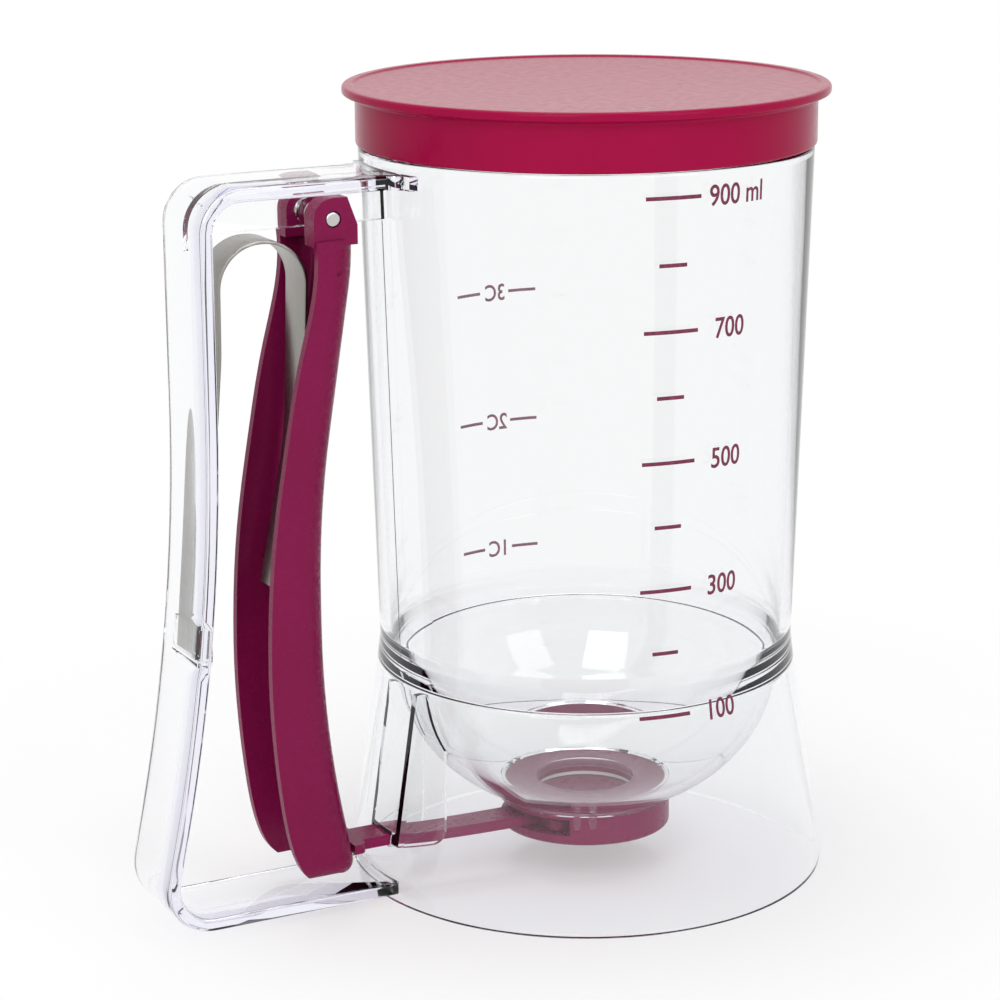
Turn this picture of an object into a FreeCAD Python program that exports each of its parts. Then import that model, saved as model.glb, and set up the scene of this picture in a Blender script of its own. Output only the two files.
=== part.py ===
import FreeCAD, Part
import math
import os

# Hand-held batter dispenser: a clear tank with a bowl bottom on a flared skirt,
# a loop handle, and a squeeze trigger that pulls a slide valve under the bowl.
# Millimetres. The origin is on the tank axis at the base plane, +Z is up,
# and the handle points towards -X.

# Tank and skirt
base_r = 55.9
waist_r = 47.9
waist_z = 56.0
waist_band = 2.0
skirt_top_z = 48.0
skirt_top_r = 48.8
skirt_wall = 2.2
shoulder_z = 168.9
tank_top_r = 51.2
tank_wall = 2.4
lip_h = 11.5
lip_r = 49.7
lip_wall = 1.4
edge_round = 0.6
weld_gap = 0.08

# Bowl and its outlet flange
bowl_rim_r = 41.8
bowl_depth = 32.3
bowl_wall = 2.2
ledge_z = 53.5
flange_r = 20.9
flange_t = 2.3
flange_rise = 3.3
outlet_r = 11.5
peg_w = 1.6
peg_drop = 2.9
peg_t = 0.9
peg_round = 0.64
peg_root = 0.2
peg_spread_deg = 10.0
peg_pair_deg = (241.0, 119.0, 0.0)

# Lid
lid_r = 54.6
lid_t = 1.7
lid_skirt_r = 51.7
lid_fit = 0.3
lid_seat = 0.3
lid_round = 0.7
lid_under_round = 0.56

# Valve under the bowl
valve_r = 19.7
valve_floor = 2.3
valve_wall = 1.8
valve_round = 1.2
mouth_gap = 0.8
top_ring_t = 1.3
seal_t = 1.0
seal_w = 4.0
seal_inset = 0.2
seal_side_gap = 0.3
gate_t = 2.2
gate_half_w = 14.5
gate_tail_share = 0.8
gate_tail_round = 2.5
slide_gap = 0.25

# Slide arm and the way it passes out of the skirt
arm_half_w = 4.5
arm_bevel = 0.6
arm_root = 4.0
guide_gap = 0.7
rib_t = 1.6
rib_reach = 12.5
rib_round = 3.5
head_half_w = 6.6
head_l = 2.8
head_rise = 0.6
hook_gap = 0.75
shoulder_l = 3.2
shoulder_half_w = 6.6
shoulder_round = 1.8

# Handle loop
handle_w = 22.0
handle_t = 3.0
handle_top_drop = 2.4
handle_standoff = 4.7
grip_offset = 40.3
foot_offset = 54.6
bottom_lift = 2.2
grip_bend_z = 72.0
grip_bend_r = 450.0
top_corner_r = 8.0
foot_corner_r = 9.5
arm_flare = 3.5
web_t = 2.6
web_h = 7.9
arm_split = 12.0

# Trigger and its pivot
pin_offset = 11.0
pin_drop = 5.3
pin_r = 1.3
pin_run = 0.05
pin_press = 0.01
pin_head_r = 1.7
pin_head_t = 0.8
pin_head_round = 0.48
pin_sink_gap = 0.1
boss_r = 3.0
boss_gap = 0.3
ear_r = 4.6
ear_in = 5.2
ear_inset = 0.8
ear_flat = 3.3
ear_slope = 1.5
ear_root = 1.4
trigger_wall = 2.0
trigger_spine = 2.4
trigger_round = 5.6
pad_step = 0.5
pad_gap = 0.9
notch_in = 6.0
notch_out = 10.0
spine_rib_h = 1.2
spine_rib_t = 1.4
low_rib_level = 0.82
low_rib_shift = 1.0
trigger_tilt = 0.14

# Leaf spring
spring_t = 0.7
spring_w = 10.6
arch_r = 10.2
arch_x = 14.3
arch_gap = 1.9
arch_fill = 0.96
spring_gap = 0.3
arch_leg = 24.0
arch_lean = 0.3
leg_bend_radii = (90.0, 60.0, 300.0)
leg_end_z = 64.0
leg_meet_z = 92.0
leg_foot_offset = -12.4
leg_bend = (-5.6, 0.34)
seat_level = 0.545
seat_h = 3.0
clip_t = 1.3
clip_h = 1.9
clip_l = 7.0
clip_gap = 0.4
clip_root = 1.0

# Length by which a cutting shape passes the face that it cuts
cut_over = 5.0

# Levels and places that follow from the values above
flange_z = skirt_top_z - (bowl_depth + bowl_wall) + flange_rise
floor_z = flange_z + flange_t
top_ring_z = flange_z - top_ring_t
seal_z = top_ring_z - seal_t
gate_top_z = seal_z - slide_gap
gate_z = gate_top_z - gate_t
valve_floor_z = gate_z - slide_gap
valve_base_z = valve_floor_z - valve_floor
arm_mid_z = gate_z + gate_t / 2
lip_top_z = shoulder_z + lip_h
lid_under_z = lip_top_z + lid_seat
handle_top_z = shoulder_z - handle_top_drop
handle_half = handle_w / 2
body_reach = max(base_r, tank_top_r + handle_standoff)
pin_x = -(body_reach + pin_offset)
pin_z = handle_top_z - handle_t - pin_drop
grip_x = -(body_reach + grip_offset)
foot_x = -(body_reach + foot_offset)
web_low_z = handle_top_z - handle_t - web_h
trigger_drop = pin_z - arm_mid_z
slide_travel = trigger_drop * trigger_tilt
bottom_arm_z = bottom_lift + handle_t / 2
top_arm_z = handle_top_z - handle_t / 2
up = FreeCAD.Vector(0, 0, 1)
origin = FreeCAD.Vector(0, 0, 0)


def point(x, z, y=0.0):
    return FreeCAD.Vector(x, y, z)


def lerp(a, b, share):
    return a + (b - a) * share


def wire_of(edges):
    return Part.Wire(Part.__sortEdges__(edges))


def polygon_edges(points):
    closed = points + [points[0]]
    return [Part.makeLine(a, b) for a, b in zip(closed, closed[1:])]


def turned(edges):
    """Solid of revolution about the tank axis."""
    solid = Part.Face(wire_of(edges)).revolve(origin, up, 360)
    return as_solid(solid)


def turned_profile(points):
    return turned(polygon_edges([point(r, z) for r, z in points]))


def as_solid(shape):
    if shape.ShapeType == "Solid":
        return shape
    if len(shape.Solids) == 1:
        return shape.Solids[0]
    if len(shape.Solids) > 1:
        return shape
    return Part.Solid(shape.Shells[0])


def slab(edges, half_width):
    """Closed outline in the XZ plane, thickened evenly about y = 0."""
    face = Part.Face(wire_of(edges))
    face.translate(FreeCAD.Vector(0, -half_width, 0))
    return as_solid(face.extrude(FreeCAD.Vector(0, 2 * half_width, 0)))


def box(x0, x1, y0, y1, z0, z1):
    return Part.makeBox(x1 - x0, y1 - y0, z1 - z0, FreeCAD.Vector(x0, y0, z0))


def disc(r, z0, z1):
    return Part.makeCylinder(r, z1 - z0, FreeCAD.Vector(0, 0, z0))


def cross_pin(r, x, z, y0, y1):
    """Cylinder lying along Y."""
    start = FreeCAD.Vector(x, y0, z)
    return Part.makeCylinder(r, y1 - y0, start, FreeCAD.Vector(0, 1, 0))


def rounded_path(vertices, radii):
    """Straight runs joined by tangent arcs, as (kind, points) pieces."""
    pieces = []
    last = vertices[0]
    for before, corner, after, radius in zip(vertices, vertices[1:], vertices[2:], radii):
        run_in = (corner - before).normalize()
        run_out = (after - corner).normalize()
        turn = run_in.getAngle(run_out)
        reach = radius * math.tan(turn / 2)
        start = corner - run_in * reach
        end = corner + run_out * reach
        inward = (run_out - run_in).normalize()
        to_middle = radius / math.cos(turn / 2) - radius
        middle = corner + inward * to_middle
        pieces.append(("line", (last, start)))
        pieces.append(("arc", (start, middle, end)))
        last = end
    pieces.append(("line", (last, vertices[-1])))
    return pieces


def path_side(pieces, shift):
    """The same path moved sideways by shift, in the XZ plane."""
    moved = []
    for kind, points in pieces:
        if kind == "line":
            a, b = points
            run = (b - a).normalize()
            side = FreeCAD.Vector(run.z, 0, -run.x) * shift
            moved.append(("line", (a + side, b + side)))
            continue
        start, middle, end = points
        centre = Part.Arc(start, middle, end).toShape().Curve.Center
        scale = []
        for q in points:
            outward = (q - centre).normalize()
            run = FreeCAD.Vector(end - start)
            side = FreeCAD.Vector(run.z, 0, -run.x)
            sign = 1 if side.dot(outward) > 0 else -1
            scale.append(q + outward * shift * sign)
        moved.append(("arc", tuple(scale)))
    return moved


def path_edges(pieces):
    edges = []
    for kind, points in pieces:
        if kind == "line":
            edges.append(Part.makeLine(*points))
        else:
            edges.append(Part.Arc(*points).toShape())
    return edges


def strip(vertices, radii, thickness, half_width):
    """A bent flat strip of even thickness."""
    path = rounded_path(vertices, radii)
    near = path_side(path, thickness / 2)
    far = path_side(path, -thickness / 2)
    ends = [
        Part.makeLine(near[0][1][0], far[0][1][0]),
        Part.makeLine(near[-1][1][-1], far[-1][1][-1]),
    ]
    return slab(path_edges(near) + path_edges(far) + ends, half_width)


def soften(shape, radius, wanted):
    """Round the edges that the test picks."""
    edges = [e for e in shape.Edges if wanted(e)]
    return as_solid(shape.makeFillet(radius, edges)) if edges else shape


def flat_ring_edge(z, r):
    def test(edge):
        box_of = edge.BoundBox
        level = abs(box_of.ZMax - z) < 1e-4 and abs(box_of.ZMin - z) < 1e-4
        return level and abs(box_of.XMax - r) < 1e-3
    return test


def ellipse_edge(rim_r, depth, z_end):
    """Quarter of the bowl's curve, from the rim down to the level z_end."""
    centre = point(0, skirt_top_z)
    low = point(0, skirt_top_z - depth)
    side = point(rim_r, skirt_top_z)
    if rim_r > depth:
        curve = Part.Ellipse(side, low, centre)
        end = math.asin((skirt_top_z - z_end) / depth)
        return Part.ArcOfEllipse(curve, 0, end).toShape()
    curve = Part.Ellipse(low, side, centre)
    end = math.acos((skirt_top_z - z_end) / depth)
    return Part.ArcOfEllipse(curve, end, math.pi / 2).toShape()


def bowl_r_at(rim_r, depth, z):
    return rim_r * math.sqrt(1 - ((skirt_top_z - z) / depth) ** 2)


def skirt_r_at(z):
    return lerp(base_r, skirt_top_r, z / skirt_top_z)


# Solid envelopes used to end one piece on another piece's surface
def tank_envelope():
    grow = weld_gap
    return turned_profile([
        (0, -1), (base_r + grow, -1), (base_r + grow, 0), (skirt_top_r + grow, skirt_top_z),
        (waist_r + grow, waist_z - waist_band), (waist_r + grow, waist_z),
        (tank_top_r + grow, shoulder_z), (0, shoulder_z),
    ])


def tank_wall_piece():
    lip_top_r = lip_r - lip_wall
    wall = turned_profile([
        (waist_r - tank_wall, waist_z),
        (waist_r, waist_z),
        (tank_top_r, shoulder_z),
        (lip_r, shoulder_z),
        (lip_r, lip_top_z),
        (lip_top_r, lip_top_z),
    ])
    wall = soften(wall, edge_round, flat_ring_edge(shoulder_z, tank_top_r))
    return soften(wall, edge_round, flat_ring_edge(lip_top_z, lip_r))


def bowl_piece():
    outer_rim_r = bowl_rim_r + bowl_wall
    outer_depth = bowl_depth + bowl_wall
    flange_meet_z = skirt_top_z - outer_depth * math.sqrt(1 - (flange_r / outer_rim_r) ** 2)
    inner_floor_r = bowl_r_at(bowl_rim_r, bowl_depth, floor_z)
    profile = [
        ellipse_edge(bowl_rim_r, bowl_depth, floor_z),
        ellipse_edge(outer_rim_r, outer_depth, flange_meet_z),
    ]
    corners = [
        point(bowl_rim_r, skirt_top_z),
        point(waist_r - tank_wall, ledge_z),
        point(waist_r - tank_wall, waist_z),
        point(waist_r, waist_z),
        point(waist_r, waist_z - waist_band),
        point(skirt_top_r, skirt_top_z),
        point(outer_rim_r, skirt_top_z),
    ]
    profile += [Part.makeLine(a, b) for a, b in zip(corners, corners[1:])]
    lower = [
        point(flange_r, flange_meet_z),
        point(flange_r, flange_z),
        point(outlet_r, flange_z),
        point(outlet_r, floor_z),
        point(inner_floor_r, floor_z),
    ]
    profile += [Part.makeLine(a, b) for a, b in zip(lower, lower[1:])]
    bowl = turned(profile)
    for pair in peg_pair_deg:
        for half in (-0.5, 0.5):
            bowl = bowl.fuse(peg(pair + half * peg_spread_deg))
    return as_solid(bowl.removeSplitter())


def peg(angle):
    """Locating peg that hangs from the flange just outside the valve."""
    inner = flange_r - peg_t
    body = box(inner, flange_r, -peg_w / 2, peg_w / 2, flange_z - peg_drop, flange_z + peg_root)
    tip = [e for e in body.Edges if e.BoundBox.ZMax < flange_z - peg_drop + 0.01]
    across = [e for e in tip if abs(e.BoundBox.YMax - e.BoundBox.YMin) < 0.01]
    body = body.makeFillet(peg_round, across)
    body.rotate(origin, up, angle)
    return body


def base_skirt_piece():
    skirt = turned_profile([
        (base_r, 0),
        (skirt_top_r, skirt_top_z),
        (skirt_top_r - skirt_wall, skirt_top_z),
        (base_r - skirt_wall, 0),
    ])
    skirt = soften(skirt, edge_round, flat_ring_edge(0, base_r))
    return as_solid(skirt.cut(arm_window()))


def arm_window():
    half = arm_half_w + guide_gap
    return box(
        -base_r - cut_over, -bowl_rim_r, -half, half,
        gate_z - guide_gap / 2, gate_top_z + guide_gap / 2,
    )


def guide_rib(side):
    """Upright rib inside the skirt that steers the slide arm."""
    inner_y = arm_half_w + guide_gap
    outer_x = -base_r
    inner_x = -(skirt_r_at(arm_mid_z) - skirt_wall - rib_reach)
    low_z = gate_z - guide_gap / 2
    y0 = inner_y if side > 0 else -inner_y - rib_t
    rib = box(outer_x, inner_x, y0, y0 + rib_t, low_z, skirt_top_z)
    corner = [
        e for e in rib.Edges
        if e.BoundBox.ZMax < low_z + 0.01 and e.BoundBox.XMin > inner_x - 0.01
    ]
    rib = rib.makeFillet(rib_round, corner)
    outer_rim_r = bowl_rim_r + bowl_wall
    outer_depth = bowl_depth + bowl_wall
    end_r = bowl_r_at(outer_rim_r, outer_depth, flange_z)
    bowl_body = turned([
        ellipse_edge(outer_rim_r, outer_depth, flange_z),
        Part.makeLine(point(end_r, flange_z), point(0, flange_z)),
        Part.makeLine(point(0, flange_z), point(0, skirt_top_z)),
        Part.makeLine(point(0, skirt_top_z), point(outer_rim_r, skirt_top_z)),
    ])
    bowl_body.translate(FreeCAD.Vector(0, 0, -weld_gap))
    wall = skirt_wall + weld_gap
    top_z = skirt_top_z - weld_gap
    hollow = turned_profile([
        (0, 0), (base_r - wall, 0), (skirt_top_r - wall, skirt_top_z), (0, skirt_top_z),
    ])
    hollow = hollow.common(disc(base_r, 0, top_z))
    rib = rib.common(hollow).cut(bowl_body)
    return as_solid(max(rib.Solids, key=lambda s: s.Volume))


def lid_piece():
    inner_r = lip_r + lid_fit
    lid_top_z = lid_under_z + lid_t
    skirt_low_z = shoulder_z + lid_seat
    lid = turned_profile([
        (0, lid_under_z),
        (inner_r, lid_under_z),
        (inner_r, skirt_low_z),
        (lid_skirt_r, skirt_low_z),
        (lid_skirt_r, lid_under_z),
        (lid_r, lid_under_z),
        (lid_r, lid_top_z),
        (0, lid_top_z),
    ])
    lid = soften(lid, lid_round, flat_ring_edge(lid_top_z, lid_r))
    lid = soften(lid, lid_under_round, flat_ring_edge(lid_under_z, lid_r))
    return soften(lid, edge_round, flat_ring_edge(skirt_low_z, lid_skirt_r))


def handle_path():
    vertices = [
        point(-bowl_rim_r, top_arm_z),
        point(grip_x, top_arm_z),
        point(grip_x, grip_bend_z),
        point(foot_x, bottom_arm_z),
        point(-bowl_rim_r, bottom_arm_z),
    ]
    return vertices, [top_corner_r, grip_bend_r, foot_corner_r]


def handle_loop():
    vertices, radii = handle_path()
    loop = strip(vertices, radii, handle_t, handle_half)
    return as_solid(loop.cut(tank_envelope()))


def loop_part(loop, x0, x1, z0, z1):
    room = box(x0, x1, -handle_w, handle_w, z0, z1)
    return as_solid(loop.common(room))


def handle_top_arm():
    """Flat arm from the tank wall, flared where it meets the wall."""
    split_x = grip_x + arm_split
    wall_x = -tank_top_r
    flare_x = wall_x - arm_flare
    half = handle_half
    wide = half + arm_flare
    low = handle_top_z - handle_t
    bend = arm_flare * (1 - math.sqrt(0.5))
    edges = []
    for side in (-1, 1):
        a = FreeCAD.Vector(flare_x, side * half, low)
        mid = FreeCAD.Vector(wall_x - bend, side * (half + bend), low)
        b = FreeCAD.Vector(wall_x, side * wide, low)
        edges.append(Part.Arc(a, mid, b).toShape())
        edges.append(Part.makeLine(FreeCAD.Vector(split_x, side * half, low), a))
        edges.append(Part.makeLine(b, FreeCAD.Vector(-waist_r / 2, side * wide, low)))
    edges.append(Part.makeLine(
        FreeCAD.Vector(split_x, -half, low), FreeCAD.Vector(split_x, half, low)))
    edges.append(Part.makeLine(
        FreeCAD.Vector(-waist_r / 2, -wide, low), FreeCAD.Vector(-waist_r / 2, wide, low)))
    arm = Part.Face(wire_of(edges)).extrude(FreeCAD.Vector(0, 0, handle_t))
    arm = arm.cut(tank_envelope())
    return as_solid(max(arm.Solids, key=lambda s: s.Volume))


def handle_grip_bar(loop):
    split_top = grip_x + arm_split
    split_low = foot_x + arm_split
    whole = box(foot_x - 20, split_top, -handle_w, handle_w, -1, handle_top_z + 1)
    below = box(split_low, split_top + 1, -handle_w, handle_w, -1, bottom_arm_z + handle_t)
    bar = as_solid(loop.common(whole).cut(below))
    for clip in spring_clips():
        bar = bar.fuse(clip)
    return as_solid(bar.removeSplitter())


def handle_bottom_arm(loop):
    split_low = foot_x + arm_split
    return loop_part(loop, split_low, 0, -1, bottom_arm_z + handle_t)


def grip_inner_x(z):
    """Place of the grip bar's inner face at a height on its bend."""
    vertices, radii = handle_path()
    bend = rounded_path(vertices, radii)[3][1]
    centre = Part.Arc(*bend).toShape().Curve.Center
    inner_r = grip_bend_r + handle_t / 2
    return centre.x + math.sqrt(inner_r ** 2 - (z - centre.z) ** 2)


def spring_clips():
    """Ledge and two cheeks that hold the foot of the spring's fixed leg."""
    half = spring_w / 2 + clip_gap
    low = leg_end_z - clip_gap
    face = grip_inner_x(low)
    ledge = box(face - clip_root, face + clip_h, -half - clip_t, half + clip_t, low - clip_t, low)
    cheeks = []
    for y0 in (-half - clip_t, half):
        cheek = box(face - clip_root, face + clip_h, y0, y0 + clip_t, low - clip_t, low + clip_l)
        cheeks.append(cheek)
    return [ledge] + cheeks


def handle_web():
    low = web_low_z
    high = handle_top_z - handle_t
    wall_end = -waist_r
    web = box(grip_x + handle_t / 2, wall_end, -web_t / 2, web_t / 2, low, high)
    web = web.cut(tank_envelope())
    loop_vertices, loop_radii = handle_path()
    corner_fill = strip(loop_vertices, loop_radii, handle_t, handle_half)
    web = web.cut(corner_fill)
    web = as_solid(max(web.Solids, key=lambda s: s.Volume))
    boss_half = ear_in - boss_gap
    web = web.fuse(cross_pin(boss_r, pin_x, pin_z, -boss_half, boss_half))
    bore = cross_pin(pin_r + pin_run, pin_x, pin_z, -handle_half, handle_half)
    return as_solid(web.cut(bore).removeSplitter())


# The trigger's side outline: sideways offsets from the pivot in millimetres,
# and levels as shares of the drop from the pivot to the slide arm.
spine_back = -3.2
spine_line = [
    (5.6, 0.030), (5.6, 0.075), (spine_back, 0.446), (spine_back, 0.776),
    (4.0, 1.034), (-6.5, 1.034),
]
spine_radii = [60.0, 230.0, 230.0, 3.0]
pad_line = [(8.0, 0.045), (0.2, 0.082)]
open_line = [
    (-6.5, 1.034), (-10.1, 1.014), (-12.9, 0.973), (-14.9, 0.905), (-16.4, 0.81),
    (-17.1, 0.72), (-17.0, 0.627), (-15.4, 0.480), (-12.3, 0.346), (-8.2, 0.206),
    (-4.3, 0.085), (-4.4, 0.032),
]


def outline_point(offset, level):
    return point(pin_x + offset, pin_z - trigger_drop * level)


def spine_path():
    return rounded_path([outline_point(*p) for p in spine_line], spine_radii)


def trigger_side():
    open_side = [outline_point(*p) for p in open_line]
    curve = Part.BSplineCurve()
    curve.interpolate(open_side)
    top = Part.makeLine(open_side[-1], outline_point(*spine_line[0]))
    return path_edges(spine_path()) + [curve.toShape(), top]


def trigger_cavity():
    """Everything on the handle side of the spine, between the two walls, open below."""
    knee, toe = spine_line[3], spine_line[4]
    stretch = 1.5
    below = (lerp(knee[0], toe[0], stretch), lerp(knee[1], toe[1], stretch))
    run = rounded_path([outline_point(*p) for p in spine_line[:4] + [below]], spine_radii[:3])
    inner = path_side(run, trigger_spine)
    start = inner[0][1][0]
    end = inner[-1][1][-1]
    high = start + FreeCAD.Vector(0, 0, ear_r * 3)
    far = foot_x - handle_w
    edges = path_edges(inner) + [
        Part.makeLine(start, high),
        Part.makeLine(high, point(far, high.z)),
        Part.makeLine(point(far, high.z), point(far, end.z)),
        Part.makeLine(point(far, end.z), end),
    ]
    cavity = slab(edges, handle_half - trigger_wall)
    back_x = pin_x + spine_line[1][0] - trigger_spine
    inner_edges = [e for e in cavity.Edges if runs_down_spine(e, back_x)]
    return as_solid(cavity.makeFillet(trigger_round - trigger_spine, inner_edges))


def runs_down_spine(edge, front_x):
    """The bowed edge just below the top of the spine; edges tangent to it follow."""
    bounds = edge.BoundBox
    top_z = pin_z - trigger_drop * spine_line[1][1]
    near_top = bounds.ZMax > top_z - 1 and bounds.ZMin < top_z - 1
    upright = bounds.YLength < 0.01 and bounds.ZLength < ear_r * 4
    return upright and near_top and abs(bounds.XMax - front_x) < 1


def trigger_ear(side):
    """Lug that carries the pin, rounded towards the handle and sloped towards the tank."""
    low_z = pin_z - trigger_drop * spine_line[0][1] - ear_root
    high_z = pin_z + ear_r
    bend = ear_r * math.sqrt(0.5)
    corners = [
        point(pin_x, high_z), point(pin_x + ear_flat, high_z),
        point(pin_x + spine_line[0][0], pin_z - ear_slope),
        point(pin_x + spine_line[0][0], low_z), point(pin_x - ear_r, low_z), point(pin_x - ear_r, pin_z),
    ]
    edges = [Part.makeLine(a, b) for a, b in zip(corners, corners[1:])]
    crown = Part.Arc(corners[-1], point(pin_x - bend, pin_z + bend), corners[0])
    lug = Part.Face(wire_of(edges + [crown.toShape()]))
    inner_y = ear_in if side > 0 else -(handle_half - ear_inset)
    lug.translate(FreeCAD.Vector(0, inner_y, 0))
    return as_solid(lug.extrude(FreeCAD.Vector(0, handle_half - ear_inset - ear_in, 0)))


def trigger_piece():
    shell = slab(trigger_side(), handle_half)
    spine_edges = [e for e in shell.Edges if runs_down_spine(e, pin_x + spine_line[1][0])]
    shell = as_solid(shell.makeFillet(trigger_round, spine_edges))
    shell = shell.cut(trigger_cavity())
    shell = shell.cut(pad_groove())
    for side in (-1, 1):
        shell = shell.fuse(trigger_ear(side))
    for rib in spine_ribs():
        shell = shell.fuse(rib)
    notch_half = arm_half_w + guide_gap
    notch = box(
        pin_x - notch_in, pin_x + notch_out, -notch_half, notch_half,
        0, gate_top_z + guide_gap,
    )
    shell = shell.cut(notch)
    bore = cross_pin(pin_r + pin_press, pin_x, pin_z, -handle_w, handle_w)
    sink_r = pin_head_r + pin_sink_gap
    sink = cross_pin(sink_r, pin_x, pin_z, -handle_w, -(handle_half - ear_inset - pin_head_t))
    shell = shell.cut(bore).cut(sink)
    return as_solid(max(shell.Solids, key=lambda s: s.Volume))


def pad_groove():
    """Shallow groove round the finger pad, cut across the spine and both sides."""
    start, end = [outline_point(*p) for p in pad_line]
    run = (end - start).normalize()
    across = FreeCAD.Vector(-run.z, 0, run.x) * (pad_gap / 2)
    edges = polygon_edges([start + across, end + across, end - across, start - across])
    bar = slab(edges, handle_w)
    core = slab(edges, handle_half - pad_step)
    return bar.cut(core)


def spine_ribs():
    """Seat for the spring's moving leg, and a low stiffening rib below it."""
    half = handle_half - trigger_wall
    ribs = []
    seat_z = pin_z - trigger_drop * seat_level
    leg_x = moving_leg_x(seat_z + spine_rib_t) + spring_t / 2 + spring_gap
    spine_x = pin_x + spine_back - trigger_spine / 2
    ribs.append(box(leg_x, spine_x, -half, half, seat_z, seat_z + spine_rib_t))
    low_z = pin_z - trigger_drop * low_rib_level
    low_x = pin_x + spine_back + low_rib_shift - trigger_spine / 2
    low_reach = spine_rib_h + trigger_spine / 2
    ribs.append(box(low_x - low_reach, low_x, -half, half, low_z, low_z + spine_rib_t))
    return ribs


def moving_leg():
    """Straight run of the spring's leg inside the trigger, foot first."""
    foot = outline_point(leg_foot_offset, seat_level)
    foot.z -= seat_h
    return foot, outline_point(*leg_bend)


def moving_leg_x(z):
    foot, bend = moving_leg()
    return lerp(foot.x, bend.x, (z - foot.z) / (bend.z - foot.z))


def pivot_pin():
    head_y = -(handle_half - ear_inset)
    shank = cross_pin(pin_r, pin_x, pin_z, head_y + pin_head_t, handle_half - ear_inset)
    head = cross_pin(pin_head_r, pin_x, pin_z, head_y, head_y + pin_head_t)
    rim = [e for e in head.Edges if e.BoundBox.YMax < head_y + 0.01]
    head = head.makeFillet(pin_head_round, rim)
    return as_solid(shank.fuse(head).removeSplitter())


def leaf_spring():
    """Bent flat strip, an arch with one leg on the bar and one in the trigger."""
    top_z = web_low_z - arch_gap
    arch_left = pin_x - arch_x - arch_r
    arch_right = pin_x - arch_x + arch_r
    slack = spring_t / 2 + spring_gap
    vertices = [
        *moving_leg(),
        point(arch_right, top_z),
        point(arch_left, top_z),
        point(arch_left - arch_lean, top_z - arch_leg),
        point(grip_inner_x(leg_meet_z) + slack, leg_meet_z),
        point(grip_inner_x(leg_end_z) + slack, leg_end_z),
    ]
    crown_r = arch_r * arch_fill
    radii = [leg_bend_radii[0], crown_r, crown_r, *leg_bend_radii[1:]]
    return strip(vertices, radii, spring_t, spring_w / 2)


def slider_piece():
    """Gate plate, arm and hook moulded in one."""
    nose = Part.makeCylinder(gate_half_w, gate_t, FreeCAD.Vector(0, 0, gate_z))
    rear_x = -gate_half_w
    tail_half = gate_half_w * gate_tail_share
    plate = nose.common(box(-gate_half_w, gate_half_w, -gate_half_w, gate_half_w, gate_z, gate_top_z))
    tail = box(rear_x, 0, -tail_half, tail_half, gate_z, gate_top_z)
    tail_edges = [e for e in tail.Edges if e.BoundBox.XMax < rear_x + 0.01 and e.BoundBox.ZLength > 1]
    plate = plate.fuse(tail.makeFillet(gate_tail_round, tail_edges))
    spine_out = spine_x_at(arm_mid_z)
    spine_in = spine_out - trigger_spine
    head_x1 = spine_in - hook_gap
    head_x0 = head_x1 - head_l
    shoulder_x0 = spine_out + hook_gap
    arm = box(head_x0, rear_x + arm_root, -arm_half_w, arm_half_w, gate_z, gate_top_z)
    top_edges = [
        e for e in arm.Edges
        if e.BoundBox.ZMin > gate_top_z - 0.01 and e.BoundBox.YLength < 0.01
    ]
    arm = arm.makeChamfer(arm_bevel, top_edges)
    head = box(head_x0, head_x1, -head_half_w, head_half_w, gate_z, gate_top_z + head_rise)
    stop = box(
        shoulder_x0, shoulder_x0 + shoulder_l, -shoulder_half_w, shoulder_half_w,
        gate_z, gate_top_z,
    )
    stop_edges = [
        e for e in stop.Edges
        if e.BoundBox.XMin > shoulder_x0 + shoulder_l - 0.01 and e.BoundBox.ZLength > 1
    ]
    stop = stop.makeFillet(shoulder_round, stop_edges)
    slider = plate.fuse(arm).fuse(head).fuse(stop)
    return as_solid(slider.removeSplitter())


def spine_x_at(z):
    """Outer face of the trigger's spine at a height near its foot."""
    a, b = spine_line[3], spine_line[4]
    level = (pin_z - z) / trigger_drop
    return pin_x + lerp(a[0], b[0], (level - a[1]) / (b[1] - a[1]))


def valve_cup():
    """Open-topped cup below the gate, with its mouth towards the handle."""
    cup = turned_profile([
        (outlet_r, valve_base_z),
        (valve_r, valve_base_z),
        (valve_r, top_ring_z),
        (valve_r - valve_wall, top_ring_z),
        (valve_r - valve_wall, valve_floor_z),
        (outlet_r, valve_floor_z),
    ])
    cup = soften(cup, valve_round, flat_ring_edge(valve_base_z, valve_r))
    mouth_half = gate_half_w + mouth_gap
    mouth = box(-valve_r - 1, 0, -mouth_half, mouth_half, valve_floor_z, top_ring_z + 1)
    return as_solid(cup.cut(mouth))


def valve_top_ring():
    ring = turned_profile([
        (outlet_r, top_ring_z), (valve_r, top_ring_z), (valve_r, flange_z), (outlet_r, flange_z),
    ])
    return ring


def outlet_seal():
    inner = outlet_r + seal_inset
    outer = min(inner + seal_w, valve_r - valve_wall - seal_side_gap)
    return turned_profile([(inner, seal_z), (outer, seal_z), (outer, top_ring_z), (inner, top_ring_z)])


def build():
    loop = handle_loop()
    return {
        "tank_wall": tank_wall_piece(),
        "bowl": bowl_piece(),
        "base_skirt": base_skirt_piece(),
        "guide_rib_near": guide_rib(-1),
        "guide_rib_far": guide_rib(1),
        "handle_top_arm": handle_top_arm(),
        "handle_web": handle_web(),
        "handle_grip_bar": handle_grip_bar(loop),
        "handle_bottom_arm": handle_bottom_arm(loop),
        "lid": lid_piece(),
        "trigger": trigger_piece(),
        "pivot_pin": pivot_pin(),
        "leaf_spring": leaf_spring(),
        "slider": slider_piece(),
        "valve_cup": valve_cup(),
        "valve_top_ring": valve_top_ring(),
        "outlet_seal": outlet_seal(),
    }


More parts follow.
